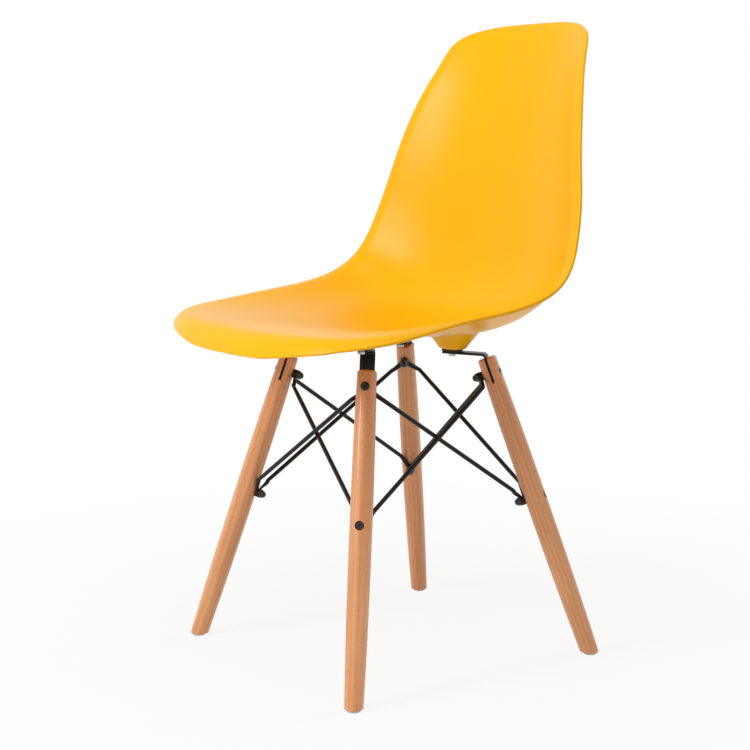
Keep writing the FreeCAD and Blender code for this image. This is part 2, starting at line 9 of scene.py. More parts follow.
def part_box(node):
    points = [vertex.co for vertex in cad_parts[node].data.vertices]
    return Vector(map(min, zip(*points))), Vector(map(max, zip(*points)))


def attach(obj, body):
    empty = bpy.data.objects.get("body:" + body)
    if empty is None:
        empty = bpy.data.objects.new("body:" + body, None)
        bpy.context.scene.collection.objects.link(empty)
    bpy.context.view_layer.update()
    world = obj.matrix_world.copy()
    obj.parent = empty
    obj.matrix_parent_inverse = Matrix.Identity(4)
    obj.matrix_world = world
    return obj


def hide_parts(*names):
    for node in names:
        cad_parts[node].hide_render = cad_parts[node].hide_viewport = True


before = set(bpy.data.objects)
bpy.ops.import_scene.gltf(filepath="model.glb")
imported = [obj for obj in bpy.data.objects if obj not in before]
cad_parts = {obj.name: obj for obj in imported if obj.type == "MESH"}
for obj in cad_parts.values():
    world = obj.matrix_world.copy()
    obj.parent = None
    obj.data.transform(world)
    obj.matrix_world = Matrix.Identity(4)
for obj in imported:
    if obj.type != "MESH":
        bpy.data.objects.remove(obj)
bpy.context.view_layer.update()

# Lengths are millimetres until a mesh is made
MM = 0.001

# Moulded shell: cross sections from the front lip to the top of the back, as centre (y, z),
# edge (x, y, z), radius of the rolled rim, the angle that it turns through, and flatness
SHELL_THICKNESS = 4.5
SEAT_RISE = 33.2
SHELL_SECTIONS = [
    ((-247, 23), (234, -247, 24.5), 30, 78, 2.5),
    ((-190, 23.5), (236.5, -190, 28), 26, 54, 2.5),
    ((-130, 18.5), (235, -130, 34.5), 26, 50, 2.5),
    ((-60, 9), (232, -60, 44), 25, 46, 2.5),
    ((0, 2), (232, 0, 50), 24, 45, 2.7),
    ((50, 0), (232, 48, 58), 24, 45, 2.9),
    ((98, 6), (231, 86, 72.5), 24, 45, 2.9),
    ((138, 25), (225.5, 111.5, 97.5), 24, 45, 2.8),
    ((164, 61), (217.5, 127, 133), 24, 45, 2.7),
    ((179, 109), (208, 139.5, 174), 24, 45, 2.6),
    ((190, 169), (195.5, 149.5, 219), 24, 45, 2.5),
    ((203, 234), (182, 162, 265), 24, 45, 2.5),
    ((217, 294), (166.5, 178.5, 310), 24, 42, 2.5),
    ((231, 347), (150, 200, 352), 22, 36, 2.5),
    ((247, 399), (136, 224, 398.5), 20, 30, 2.5),
]
FRONT_ROUNDING = 2.1
FRONT_SQUARENESS = 2.5
TOP_ROUNDING = 0.85
TOP_SQUARENESS = 3.4
MARGIN_T = 0.2
MARGIN_Q = 0.06
RIM_STEPS = 24
RIM_EDGE_ROUND = 1.4
FRONT_BOSS_RADIUS = 25.0
REAR_BOSS_RADIUS = 17.0
BOSS_FLARE = 0.77
BOSS_HEIGHT = 40.0
BOSS_FILLET = 6.0
BOSS_EDGE_ROUND = 0.8

# Base
FOOT_X = 190.5
FOOT_Y = 186.0
LEAN_X = 0.257
LEAN_Y = 0.239
LEG_LENGTH = 411.0
LEG_SHAPE = [
    (-0.03, 11.0), (0.073, 12.2), (0.219, 13.2), (0.365, 13.8),
    (0.535, 14.0), (0.73, 13.7), (0.876, 13.0), (0.985, 12.2),
]
LEG_PROFILE = [(share * LEG_LENGTH, radius) for share, radius in LEG_SHAPE]
LEG_TOP_ROUNDING = 3.0
SHOULDER_SHARE = 0.92
FOOT_RADIUS_SHARE = 0.82
SLOT_CUTTER = 60.0
BOLT_SEAT_CUTTER = 20.0
GLIDE_HEIGHT = 3.0
BAR_WIDTH = 19.0
BAR_THICKNESS = 3.0
BAR_BEND_RADIUS = 5.0
BAR_EDGE_ROUND = 0.6
UPPER_BOLT = LEG_LENGTH - 21.0
LOWER_BOLT = LEG_LENGTH - 192.0
SLOT_BOTTOM = UPPER_BOLT - 12.5
SLOT_END_GAP = 1.0
SLOT_GAP = 0.3
FRONT_ARM = (44.0, 33.7, 8.0)
REAR_ARM = (-45.0, 8.1, 3.0)
PAD_THICKNESS = 3.5
PAD_BOTTOM_RADIUS = 14.0
BOLT_HEAD_FACE = 12.0
BOLT_HEAD_THICKNESS = 3.2
BOLT_SEAT_RADIUS = 5.8
LEG_TO_EYE = 0.3
EYE_THICKNESS = 2.4
ROD_RADIUS = 2.8
OUTER_SET = 0.4
INNER_SET = 4.8
TONGUE_HALF_WIDTH = 3.4
TONGUE_FLAT = 6.6
OUTER_TONGUE = 16.0
INNER_TONGUE = 13.0
TONGUE_EASE = 8.0
TONGUE_START = 4.4
TONGUE_LEAD = 2.0
TONGUE_STEPS = 20

LEG_TOP = LEG_LENGTH / math.sqrt(1 + LEAN_X ** 2 + LEAN_Y ** 2)
SEAT_LOW = LEG_TOP + SEAT_RISE
LEAN = math.hypot(LEAN_X, LEAN_Y)
LAST_SECTION = len(SHELL_SECTIONS) - 1

glides = [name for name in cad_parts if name.startswith("glide_") and name != "glide_nails"]
BASE_MIDDLE_Y = sum(corner.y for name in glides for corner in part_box(name)) / (2 * len(glides)) / MM


# Node trees

def add_node(tree, kind, inputs=None, **settings):
    """Add a node; inputs are values or the sockets to link from, by name or place."""
    node = tree.nodes.new(kind)
    for name, value in settings.items():
        setattr(node, name, value)
    for name, value in (inputs or {}).items():
        socket = node.inputs[name]
        if isinstance(value, bpy.types.NodeSocket):
            tree.links.new(value, socket)
        else:
            socket.default_value = value
    return node


def sum_of(tree, operation, a, b, third=None):
    """Output of a math node."""
    inputs = {0: a, 1: b}
    if third is not None:
        inputs[2] = third
    return add_node(tree, "ShaderNodeMath", inputs, operation=operation).outputs[0]


def vector_of(tree, x, y, z):
    """Vector from three values."""
    return add_node(tree, "ShaderNodeCombineXYZ", {0: x, 1: y, 2: z}).outputs[0]


def new_surface(name):
    """Material with an empty tree, its principled shader and its output."""
    material = bpy.data.materials.new(name)
    material.use_nodes = True
    tree = material.node_tree
    tree.nodes.clear()
    shader = tree.nodes.new("ShaderNodeBsdfPrincipled")
    output = tree.nodes.new("ShaderNodeOutputMaterial")
    tree.links.new(shader.outputs[0], output.inputs["Surface"])
    return material, tree, shader


def stretched(tree, source, scale, move=(0.0, 0.0, 0.0)):
    """A vector scaled by different amounts along its axes."""
    return add_node(tree, "ShaderNodeMapping", {
        "Vector": source, "Scale": scale, "Location": move}).outputs[0]


def noise(tree, vector, scale, detail=2.0, roughness=0.5, distortion=0.0):
    """Value of a noise texture."""
    return add_node(tree, "ShaderNodeTexNoise", {
        "Vector": vector, "Scale": scale, "Detail": detail,
        "Roughness": roughness, "Distortion": distortion}).outputs[0]


def ranged(tree, value, low, high, to_low, to_high):
    """A value carried from one range to another."""
    return add_node(tree, "ShaderNodeMapRange", {
        "Value": value, "From Min": low, "From Max": high, "To Min": to_low, "To Max": to_high}).outputs[0]


def ramp(tree, value, stops):
    """Colours along a value, from (place, colour) stops."""
    node = add_node(tree, "ShaderNodeValToRGB", {"Fac": value})
    elements = node.color_ramp.elements
    elements[0].position, elements[0].color = stops[0][0], (*stops[0][1], 1.0)
    elements[1].position, elements[1].color = stops[-1][0], (*stops[-1][1], 1.0)
    for place, colour in stops[1:-1]:
        element = elements.new(place)
        element.color = (*colour, 1.0)
    return node.outputs[0]


def mixed(tree, factor, a, b):
    """Mix of two colours."""
    node = tree.nodes.new("ShaderNodeMix")
    node.data_type = "RGBA"
    for socket, value in ((node.inputs[0], factor), (node.inputs[6], a), (node.inputs[7], b)):
        if isinstance(value, bpy.types.NodeSocket):
            tree.links.new(value, socket)
        elif socket.type == "RGBA":
            socket.default_value = (*value, 1.0)
        else:
            socket.default_value = value
    return node.outputs[2]


def bumped(tree, shader, height, strength, distance, under=None):
    """Bump the shader's surface, over another bump if there is one."""
    inputs = {"Height": height, "Strength": strength, "Distance": distance}
    if under is not None:
        inputs["Normal"] = under
    normal = add_node(tree, "ShaderNodeBump", inputs).outputs[0]
    if shader is not None:
        tree.links.new(normal, shader.inputs["Normal"])
    return normal


# Finishes

def yellow_polypropylene():
    """Satin moulded plastic, dyed through, with a fine tool grain and a faint sink here and there."""
    material, tree, shader = new_surface("yellow_polypropylene")
    place = add_node(tree, "ShaderNodeTexCoord").outputs["Object"]
    flow = noise(tree, stretched(tree, place, (1.0, 0.5, 0.35)), 7.0, 3.0, 0.5, 0.4)
    colour = ramp(tree, flow, [
        (0.30, (0.965, 0.468, 0.0)), (0.55, (0.980, 0.480, 0.0)), (0.80, (0.995, 0.492, 0.0))])
    specks = noise(tree, place, 1700.0, 1.0)
    tree.links.new(mixed(tree, ranged(tree, specks, 0.66, 0.80, 0.0, 0.10), colour, (0.86, 0.385, 0.0)),
                   shader.inputs["Base Color"])
    rubbed = noise(tree, stretched(tree, place, (1.0, 0.3, 1.0)), 34.0, 4.0, 0.6, 0.6)
    tree.links.new(ranged(tree, rubbed, 0.30, 0.75, 0.29, 0.34), shader.inputs["Roughness"])
    wave = bumped(tree, None, noise(tree, place, 11.0, 1.0), 0.10, 0.004)
    grain = noise(tree, place, 1500.0, 3.0, 0.6)
    bumped(tree, shader, grain, 0.10, 0.0003, wave)
    shader.inputs["IOR"].default_value = 1.49
    shader.inputs["Specular IOR Level"].default_value = 0.17
    return material


def lacquered_beech():
    """Beech under clear satin lacquer: growth lines along the leg, fine fibre and short dark flecks."""
    material, tree, shader = new_surface("lacquered_beech")
    along = add_node(tree, "ShaderNodeAttribute", attribute_name="grain").outputs["Vector"]
    drift = noise(tree, stretched(tree, along, (1.0, 1.0, 0.12)), 60.0, 2.0, 0.5, 0.3)
    rings = add_node(tree, "ShaderNodeTexWave", {
        "Vector": stretched(tree, along, (1.0, 1.0, 0.05), (0.031, 0.019, 0.0)),
        "Scale": 52.0, "Distortion": 6.0, "Detail": 2.5, "Detail Scale": 0.6, "Detail Roughness": 0.55,
        }, wave_type="RINGS", rings_direction="Z", wave_profile="SIN").outputs["Fac"]
    fibre = noise(tree, stretched(tree, along, (1.0, 1.0, 0.025)), 1300.0, 3.0, 0.6)
    tone = sum_of(tree, "MULTIPLY_ADD", rings, 0.17, sum_of(tree, "MULTIPLY", drift, 0.52))
    tone = sum_of(tree, "MULTIPLY_ADD", fibre, 0.30, tone)
    colour = ramp(tree, tone, [
        (0.28, (0.830, 0.400, 0.175)), (0.46, (0.755, 0.335, 0.132)),
        (0.60, (0.680, 0.280, 0.102)), (0.85, (0.540, 0.198, 0.064))])
    cells = add_node(tree, "ShaderNodeTexVoronoi", {
        "Vector": stretched(tree, along, (1.0, 1.0, 0.13)), "Scale": 640.0, "Randomness": 1.0})
    near = ranged(tree, cells.outputs["Distance"], 0.16, 0.30, 1.0, 0.0)
    kept = add_node(tree, "ShaderNodeSeparateColor", {"Color": cells.outputs["Color"]}).outputs[0]
    fleck = sum_of(tree, "MULTIPLY", near, ranged(tree, kept, 0.45, 0.60, 0.0, 0.50))
    tree.links.new(mixed(tree, fleck, colour, (0.400, 0.140, 0.045)), shader.inputs["Base Color"])
    tree.links.new(ranged(tree, fibre, 0.25, 0.75, 0.34, 0.46), shader.inputs["Roughness"])
    lines = bumped(tree, None, rings, 0.06, 0.0004)
    bumped(tree, shader, fibre, 0.16, 0.00025, lines)
    shader.inputs["Coat Weight"].default_value = 0.35
    shader.inputs["Coat Roughness"].default_value = 0.22
    return material


def clouded_finish(name, cloud_scale, colours, roughness, grain):
    """Finish whose colour and gloss follow a faint cloud; grain is its bump's scale, strength and depth."""
    material, tree, shader = new_surface(name)
    place = add_node(tree, "ShaderNodeTexCoord").outputs["Object"]
    cloud = noise(tree, place, cloud_scale, 3.0, 0.6)
    tree.links.new(ramp(tree, cloud, colours), shader.inputs["Base Color"])
    gloss = ranged(tree, cloud, colours[0][0], colours[-1][0], *roughness)
    tree.links.new(gloss, shader.inputs["Roughness"])
    grain_scale, strength, depth = grain
    bumped(tree, shader, noise(tree, place, grain_scale, 2.0), strength, depth)
    return material, shader


def black_powder_coat():
    """Satin black powder coat with its fine orange peel."""
    colours = [(0.30, (0.007, 0.0065, 0.007)), (0.75, (0.014, 0.013, 0.0135))]
    material, shader = clouded_finish(
        "black_powder_coat", 240.0, colours, (0.30, 0.42), (2100.0, 0.06, 0.0001))
    shader.inputs["Specular IOR Level"].default_value = 0.22
    return material


def black_oxide():
    """Blackened bolts and nuts with a thin film of oil."""
    colours = [(0.30, (0.012, 0.0115, 0.012)), (0.75, (0.028, 0.027, 0.027))]
    material, shader = clouded_finish(
        "black_oxide", 520.0, colours, (0.20, 0.34), (2400.0, 0.06, 0.0001))
    shader.inputs["Specular IOR Level"].default_value = 0.45
    return material


def bright_zinc():
    """Zinc plate, slightly clouded."""
    colours = [(0.30, (0.50, 0.51, 0.54)), (0.75, (0.72, 0.72, 0.70))]
    material, shader = clouded_finish(
        "bright_zinc", 700.0, colours, (0.26, 0.42), (3000.0, 0.08, 0.0001))
    shader.inputs["Metallic"].default_value = 1.0
    return material


def matt_rubber():
    """Matt moulded rubber."""
    colours = [(0.35, (0.018, 0.018, 0.018)), (0.75, (0.038, 0.037, 0.036))]
    return clouded_finish("matt_rubber", 300.0, colours, (0.62, 0.80), (2600.0, 0.25, 0.0002))[0]


def milky_nylon():
    """Milky nylon with a scuffed underside."""
    material, tree, shader = new_surface("milky_nylon")
    place = add_node(tree, "ShaderNodeTexCoord").outputs["Object"]
    scuff = noise(tree, stretched(tree, place, (1.0, 1.0, 3.0)), 420.0, 4.0, 0.65)
    tree.links.new(ramp(tree, scuff, [(0.35, (0.80, 0.80, 0.78)), (0.80, (0.62, 0.61, 0.58))]),
                   shader.inputs["Base Color"])
    tree.links.new(ranged(tree, scuff, 0.35, 0.80, 0.32, 0.55), shader.inputs["Roughness"])
    bumped(tree, shader, scuff, 0.10, 0.0002)
    return material


def turned_brass():
    """Brass with fine turning marks."""
    material, tree, shader = new_surface("turned_brass")
    place = add_node(tree, "ShaderNodeTexCoord").outputs["Object"]
    marks = noise(tree, stretched(tree, place, (1.0, 1.0, 12.0)), 500.0, 2.0)
    tree.links.new(ramp(tree, marks, [(0.30, (0.60, 0.42, 0.16)), (0.75, (0.78, 0.58, 0.26))]),
                   shader.inputs["Base Color"])
    tree.links.new(ranged(tree, marks, 0.30, 0.75, 0.25, 0.40), shader.inputs["Roughness"])
    shader.inputs["Metallic"].default_value = 1.0
    return material


finishes = {
    "shell_plastic": yellow_polypropylene(),
    "leg_wood": lacquered_beech(),
    "black_steel": black_powder_coat(),
    "black_oxide": black_oxide(),
    "zinc_steel": bright_zinc(),
    "black_rubber": matt_rubber(),
    "glide_nylon": milky_nylon(),
    "insert_brass": turned_brass(),
}


# Pieces

def mesh_of(name, points, faces):
    """Closed mesh from points in millimetres, its faces turned outwards."""
    mesh = bpy.data.meshes.new(name)
    mesh.from_pydata((np.asarray(points, float) * MM).tolist(), [], faces)
    edit = bmesh.new()
    edit.from_mesh(mesh)
    bmesh.ops.recalc_face_normals(edit, faces=edit.faces)
    edit.to_mesh(mesh)
    edit.free()
    return mesh


def fit_piece(name, mesh, slot_name, nodes, sharp=35.0, finish=None):
    """Put a finished mesh into the chair in place of its solids."""
    mesh.materials.clear()
    mesh.materials.append(finishes[finish or slot_name])
    mesh.shade_smooth()
    mesh.set_sharp_from_angle(angle=math.radians(sharp))
    piece = bpy.data.objects.new(name, mesh)
    bpy.context.scene.collection.objects.link(piece)
    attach(piece, "root")
    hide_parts(*nodes)


def turned(rings, steps=48, ring_closed=False):
    """Round shape from (radius, height) rings, or (half width, height, True) for hexagonal ones."""
    points = []
    faces = []
    rows = []
    for radius, height, *hexagonal in rings:
        if radius == 0:
            rows.append([len(points)])
            points.append((0.0, 0.0, height))
            continue
        rows.append(list(range(len(points), len(points) + steps)))
        for i in range(steps):
            turn = 2 * math.pi * i / steps
            reach = radius
            if hexagonal:
                reach = radius / math.cos((turn % (math.pi / 3)) - math.pi / 6)
            points.append((reach * math.cos(turn), reach * math.sin(turn), height))
    pairs = list(zip(rows, rows[1:]))
    if ring_closed:
        pairs.append((rows[-1], rows[0]))
    for low, high in pairs:
        for i in range(steps):
            j = (i + 1) % steps
            if len(low) == 1:
                faces.append((low[0], high[j], high[i]))
            elif len(high) == 1:
                faces.append((low[i], low[j], high[0]))
            else:
                faces.append((low[i], low[j], high[j], high[i]))
    return np.array(points), faces


def joined(parts):
    """Several (points, faces) as one."""
    points = []
    faces = []
    start = 0
    for some_points, some_faces in parts:
        points.append(np.asarray(some_points, float))
        faces += [tuple(i + start for i in face) for face in some_faces]
        start += len(some_points)
    return np.concatenate(points), faces


class Corner:
    """Directions and places at one leg."""

    def __init__(self, side_x, side_y):
        self.front = side_y < 0
        self.foot = Vector((side_x * FOOT_X, side_y * FOOT_Y + BASE_MIDDLE_Y, 0.0))
        self.level_out = Vector((side_x * LEAN_X / LEAN, side_y * LEAN_Y / LEAN, 0.0))
        self.up = (Vector((0, 0, 1)) - self.level_out * LEAN).normalized()
        self.out = (self.level_out - self.up * self.level_out.dot(self.up)).normalized()
        self.side = self.up.cross(self.out)
        reach, rise, tilt = FRONT_ARM if self.front else REAR_ARM
        self.tilt = math.radians(tilt)
        self.arm_way = 1 if self.front else -1
        self.arm_s = reach - LEAN * LEG_TOP
        self.arm_z = LEG_TOP + rise
        tipped = self.level_out * (self.arm_way * math.sin(self.tilt))
        self.bolt_up = Vector((0, 0, math.cos(self.tilt))) - tipped
        self.arm_top = self.foot + self.level_out * self.arm_s + Vector((0, 0, self.arm_z))
        self.boss_bottom = self.arm_top + self.bolt_up * PAD_THICKNESS

    def on_bolt(self, along, outwards):
        """Point on a leg bolt's axis."""
        return self.foot + self.up * along + self.out * outwards


corners = {
    "front_right": Corner(-1, -1),
    "front_left": Corner(1, -1),
    "rear_left": Corner(1, 1),
    "rear_right": Corner(-1, 1),
}
SIDES = {
    "front": ("front_left", "front_right"),
    "left": ("rear_left", "front_left"),
    "rear": ("rear_right", "rear_left"),
    "right": ("front_right", "rear_right"),
}


# Moulded shell

def natural_spline(values):
    """Smooth curve through values at 0, 1, 2 and so on."""
    values = np.array(values, float)
    count = len(values)
    system = np.eye(count)
    bends = np.zeros(count)
    for i in range(1, count - 1):
        system[i, i - 1:i + 2] = (1.0, 4.0, 1.0)
        bends[i] = 3.0 * (values[i + 1] - 2.0 * values[i] + values[i - 1])
    curve = np.linalg.solve(system, bends)

    def value(t):
        i = np.clip(np.floor(t).astype(int), 0, count - 2)
        u = t - i
        slope = values[i + 1] - values[i] - (2.0 * curve[i] + curve[i + 1]) / 3.0
        return values[i] + u * (slope + u * (curve[i] + u * (curve[i + 1] - curve[i]) / 3.0))

    return value


centre_y = natural_spline([s[0][0] + BASE_MIDDLE_Y for s in SHELL_SECTIONS])
centre_z = natural_spline([s[0][1] + SEAT_LOW for s in SHELL_SECTIONS])
edge_x = natural_spline([s[1][0] for s in SHELL_SECTIONS])
edge_y = natural_spline([s[1][1] + BASE_MIDDLE_Y for s in SHELL_SECTIONS])
edge_z = natural_spline([s[1][2] + SEAT_LOW for s in SHELL_SECTIONS])
roll_radius = natural_spline([s[2] for s in SHELL_SECTIONS])
roll_angle = natural_spline([s[3] for s in SHELL_SECTIONS])
fullness = natural_spline([s[4] for s in SHELL_SECTIONS])


def bowl_point(t, q):
    """Points of the bowl before its rim rolls over."""
    rise = np.abs(q) ** fullness(t)
    y = centre_y(t) + (edge_y(t) - centre_y(t)) * rise
    z = centre_z(t) + (edge_z(t) - centre_z(t)) * rise
    return np.stack([edge_x(t) * q, y, z], -1)


def across(point_at, t, q, step=0.002):
    """Unit normals on the side where one sits."""
    along = point_at(t + step, q) - point_at(t - step, q)
    side = point_at(t, q + step) - point_at(t, q - step)
    normal = np.cross(side, along)
    return normal / np.linalg.norm(normal, axis=-1, keepdims=True)


def front_line(q):
    """Section at which the rounded front crosses a share of the width."""
    return FRONT_ROUNDING * (1 - (1 - np.abs(q) ** FRONT_SQUARENESS) ** (1 / FRONT_SQUARENESS))


def top_line(q):
    """Section at which the rounded top crosses a share of the width."""
    return LAST_SECTION - TOP_ROUNDING * (1 - (1 - np.abs(q) ** TOP_SQUARENESS) ** (1 / TOP_SQUARENESS))


def width_limit(t):
    """How far the outline reaches at sections t, as a share of their width."""
    front = np.clip((FRONT_ROUNDING - t) / FRONT_ROUNDING, 0, 1)
    top = np.clip((t - LAST_SECTION + TOP_ROUNDING) / TOP_ROUNDING, 0, 1)
    front_share = (1 - front ** FRONT_SQUARENESS) ** (1 / FRONT_SQUARENESS)
    return front_share * (1 - top ** TOP_SQUARENESS) ** (1 / TOP_SQUARENESS)


def outline_half():
    """The left half of the outline as sections and shares."""
    turn = np.linspace(0, math.pi / 2, RIM_STEPS + 1)
    front_q = np.sin(turn) ** (2 / FRONT_SQUARENESS)
    front_t = FRONT_ROUNDING * (1 - np.abs(np.cos(turn)) ** (2 / FRONT_SQUARENESS))
    side_t = np.linspace(FRONT_ROUNDING, LAST_SECTION - TOP_ROUNDING, 2 * RIM_STEPS + 1)[1:-1]
    top_q = np.sin(turn[::-1]) ** (2 / TOP_SQUARENESS)
    top_t = LAST_SECTION - TOP_ROUNDING * (1 - np.abs(np.cos(turn[::-1])) ** (2 / TOP_SQUARENESS))
    t = np.concatenate([front_t, side_t, top_t])
    q = np.concatenate([front_q, np.ones(len(side_t)), top_q])
    return t, q


half_rim = bowl_point(*outline_half())
rim_line = np.concatenate([half_rim, half_rim[::-1] * (-1, 1, 1)])


def distance_inside(t, q):
    """Distances from the outline, negative outside it."""
    points = bowl_point(t, q).reshape(-1, 1, 3)
    start = rim_line[:-1]
    run = rim_line[1:] - start
    length = np.maximum((run * run).sum(-1), 1e-12)
    share = np.clip(((points - start) * run).sum(-1) / length, 0, 1)
    gap = np.linalg.norm(start + run * share[..., None] - points, axis=-1).min(1).reshape(np.shape(t))
    return np.where(np.abs(q) > width_limit(t), -gap, gap)


def sitting_face(t, q):
    """Points of the sitting face, with its rim rolled over."""
    radius = roll_radius(t)
    turn = np.radians(roll_angle(t))
    band = radius * np.sin(turn)
    reach = band - distance_inside(t, q)
    held = np.clip(reach, 0, band)
    drop = radius - np.sqrt(radius ** 2 - held ** 2) + np.maximum(reach - held, 0) * np.tan(turn)
    return bowl_point(t, q) - across(bowl_point, t, q) * drop[..., None]


def run_of(pieces):
    """Places from (start, end, count) pieces that follow one another."""
    places = [pieces[0][0]]
    for start, end, count in pieces:
        places += [start + (end - start) * (i + 1) / count for i in range(count)]
    return places


def spline_weights(knots, places, degree=3):
    """How much each pole of a clamped spline counts at each place."""
    full = np.array([knots[0]] * degree + list(knots) + [knots[-1]] * degree)
    places = np.asarray(places, float).reshape(-1, 1)
    weights = ((places >= full[:-1]) & (places < full[1:])).astype(float)
    for order in range(1, degree + 1):
        count = weights.shape[1] - 1
        beyond = full[order + 1:order + 1 + count]
        rise = full[order:order + count] - full[:count]
        fall = beyond - full[1:1 + count]
        up = np.where(rise > 0, (places - full[:count]) / np.where(rise > 0, rise, 1), 0)
        down = np.where(fall > 0, (beyond - places) / np.where(fall > 0, fall, 1), 0)
        weights = up * weights[:, :-1] + down * weights[:, 1:]
    return weights


def shell_faces(t, q):
    """The sitting face and the underside at sections t and shares q."""
    knots_t = run_of([
        (-MARGIN_T, 0.9, 10), (0.9, 2.1, 8), (2.1, 12.6, 24), (12.6, LAST_SECTION + MARGIN_T, 12)])
    half_q = run_of([(0.1, 0.5, 3), (0.5, 0.8, 6), (0.8, 1 + MARGIN_Q, 8)])
    knots_q = [-v for v in reversed(half_q)] + half_q
    poles = []
    for knots in (knots_t, knots_q):
        full = [knots[0]] * 3 + knots + [knots[-1]] * 3
        poles.append(np.array([sum(full[i + 1:i + 4]) / 3 for i in range(len(knots) + 2)]))
    pole_t, pole_q = np.meshgrid(*poles, indexing="ij")
    mirror = np.stack([np.where(pole_q < 0, -1.0, 1.0), np.ones_like(pole_q), np.ones_like(pole_q)], -1)
    top = sitting_face(pole_t, np.abs(pole_q))
    under = top - across(sitting_face, pole_t, np.abs(pole_q)) * SHELL_THICKNESS
    weights_t = spline_weights(knots_t, t.ravel())
    weights_q = spline_weights(knots_q, q.ravel())
    faces = []
    for pole_points in (top * mirror, under * mirror):
        part = (weights_t @ pole_points.reshape(len(poles[0]), -1)).reshape(t.size, len(poles[1]), 3)
        faces.append(np.einsum("nj,njk->nk", weights_q, part).reshape(*t.shape, 3))
    return faces


def smooth_less(a, b, width):
    """The smaller of two heights, rounded over where they meet."""
    return np.minimum(a, b) - np.maximum(width - np.abs(a - b), 0) ** 2 / (4 * width)


def with_bosses(under):
    """The underside drawn down into its four flared bosses, with their fillets."""
    under = under.copy()
    for corner in corners.values():
        radius = FRONT_BOSS_RADIUS if corner.front else REAR_BOSS_RADIUS
        axis = np.array(corner.bolt_up)
        away = under - np.array(corner.boss_bottom)
        height = away @ axis
        reach = np.linalg.norm(away - height[..., None] * axis, axis=-1)
        cone = -smooth_less(np.zeros_like(reach), (radius - reach) / BOSS_FLARE, BOSS_EDGE_ROUND)
        drawn = smooth_less(height, cone, BOSS_FILLET)
        within = (drawn < height) & (height < BOSS_HEIGHT) & (reach < radius + BOSS_FLARE * BOSS_HEIGHT)
        under += np.where(within, drawn - height, 0)[..., None] * axis
    return under


def moulded_shell():
    """The whole shell as one closed skin with a rounded rim."""
    rows = np.array(run_of([
        (0, 0.6, 14), (0.6, 1.55, 12), (1.55, 2.57, 28), (2.57, 4.5, 24),
        (4.5, 6.05, 30), (6.05, 13.2, 84), (13.2, LAST_SECTION, 16)])) / LAST_SECTION
    half = run_of([(0.1, 0.68, 56), (0.68, 0.87, 11), (0.87, 1.0, 12)])
    columns = np.array([-v for v in reversed(half)] + run_of([(-0.1, 0.1, 6)])[1:-1] + half)
    a, b = np.meshgrid(rows, columns, indexing="ij")
    front_q = 0.5 ** (1 / FRONT_SQUARENESS)
    top_q = 0.5 ** (1 / TOP_SQUARENESS)
    front_t = front_line(front_q)
    side_t = front_t + a * (top_line(top_q) - front_t)
    t = (1 - a) * front_line(b * front_q) + a * top_line(b * top_q)
    top, under = shell_faces(t, b * width_limit(side_t))
    under = with_bosses(under)
    count_a, count_b = t.shape
    number = np.arange(t.size).reshape(t.shape)
    loop = np.concatenate([number[0, :], number[1:, -1], number[-1, -2::-1], number[-2:0:-1, 0]])
    top = top.reshape(-1, 3)
    under = under.reshape(-1, 3)
    rim_top = top[loop].copy()
    rim_under = under[loop].copy()
    normal = rim_top - rim_under
    normal /= np.linalg.norm(normal, axis=1, keepdims=True)
    tangent = np.roll(rim_top, -1, 0) - np.roll(rim_top, 1, 0)
    outwards = np.cross(tangent, normal)
    outwards /= np.linalg.norm(outwards, axis=1, keepdims=True)
    top[loop] = rim_top - outwards * RIM_EDGE_ROUND
    under[loop] = rim_under - outwards * RIM_EDGE_ROUND
    rings = []
    for start, way in ((top[loop], -1.0), (under[loop], 1.0)):
        part = []
        for turn in np.radians((30, 60, 90)):
            part.append(start + normal * (way * RIM_EDGE_ROUND * (1 - math.cos(turn)))
                        + outwards * (RIM_EDGE_ROUND * math.sin(turn)))
        rings += part if way < 0 else part[::-1]
    points = np.concatenate([top, under] + rings)
    quads = np.stack([number[:-1, :-1], number[1:, :-1], number[1:, 1:], number[:-1, 1:]], -1)
    quads = quads.reshape(-1, 4)
    faces = quads[:, ::-1].tolist() + (quads + t.size).tolist()
    starts = [2 * t.size + len(loop) * i + np.arange(len(loop)) for i in range(len(rings))]
    starts = [loop] + starts + [loop + t.size]
    for low, high in zip(starts, starts[1:]):
        faces += np.stack([low, np.roll(low, -1), np.roll(high, -1), high], -1).tolist()
    return mesh_of("moulded_shell", points, faces)


fit_piece("moulded_shell", moulded_shell(), "shell_plastic", ["seat_shell"], 50.0)


# Turned legs

def close_tree(tree, geometry, finish):
    """End a tree in real geometry that carries its finish."""
    whole = add_node(tree, "GeometryNodeRealizeInstances", {"Geometry": geometry})
    done = add_node(tree, "GeometryNodeSetMaterial", {"Geometry": whole.outputs[0], "Material": finish})
    output = tree.nodes.new("NodeGroupOutput")
    tree.links.new(done.outputs[0], output.inputs["Geometry"])


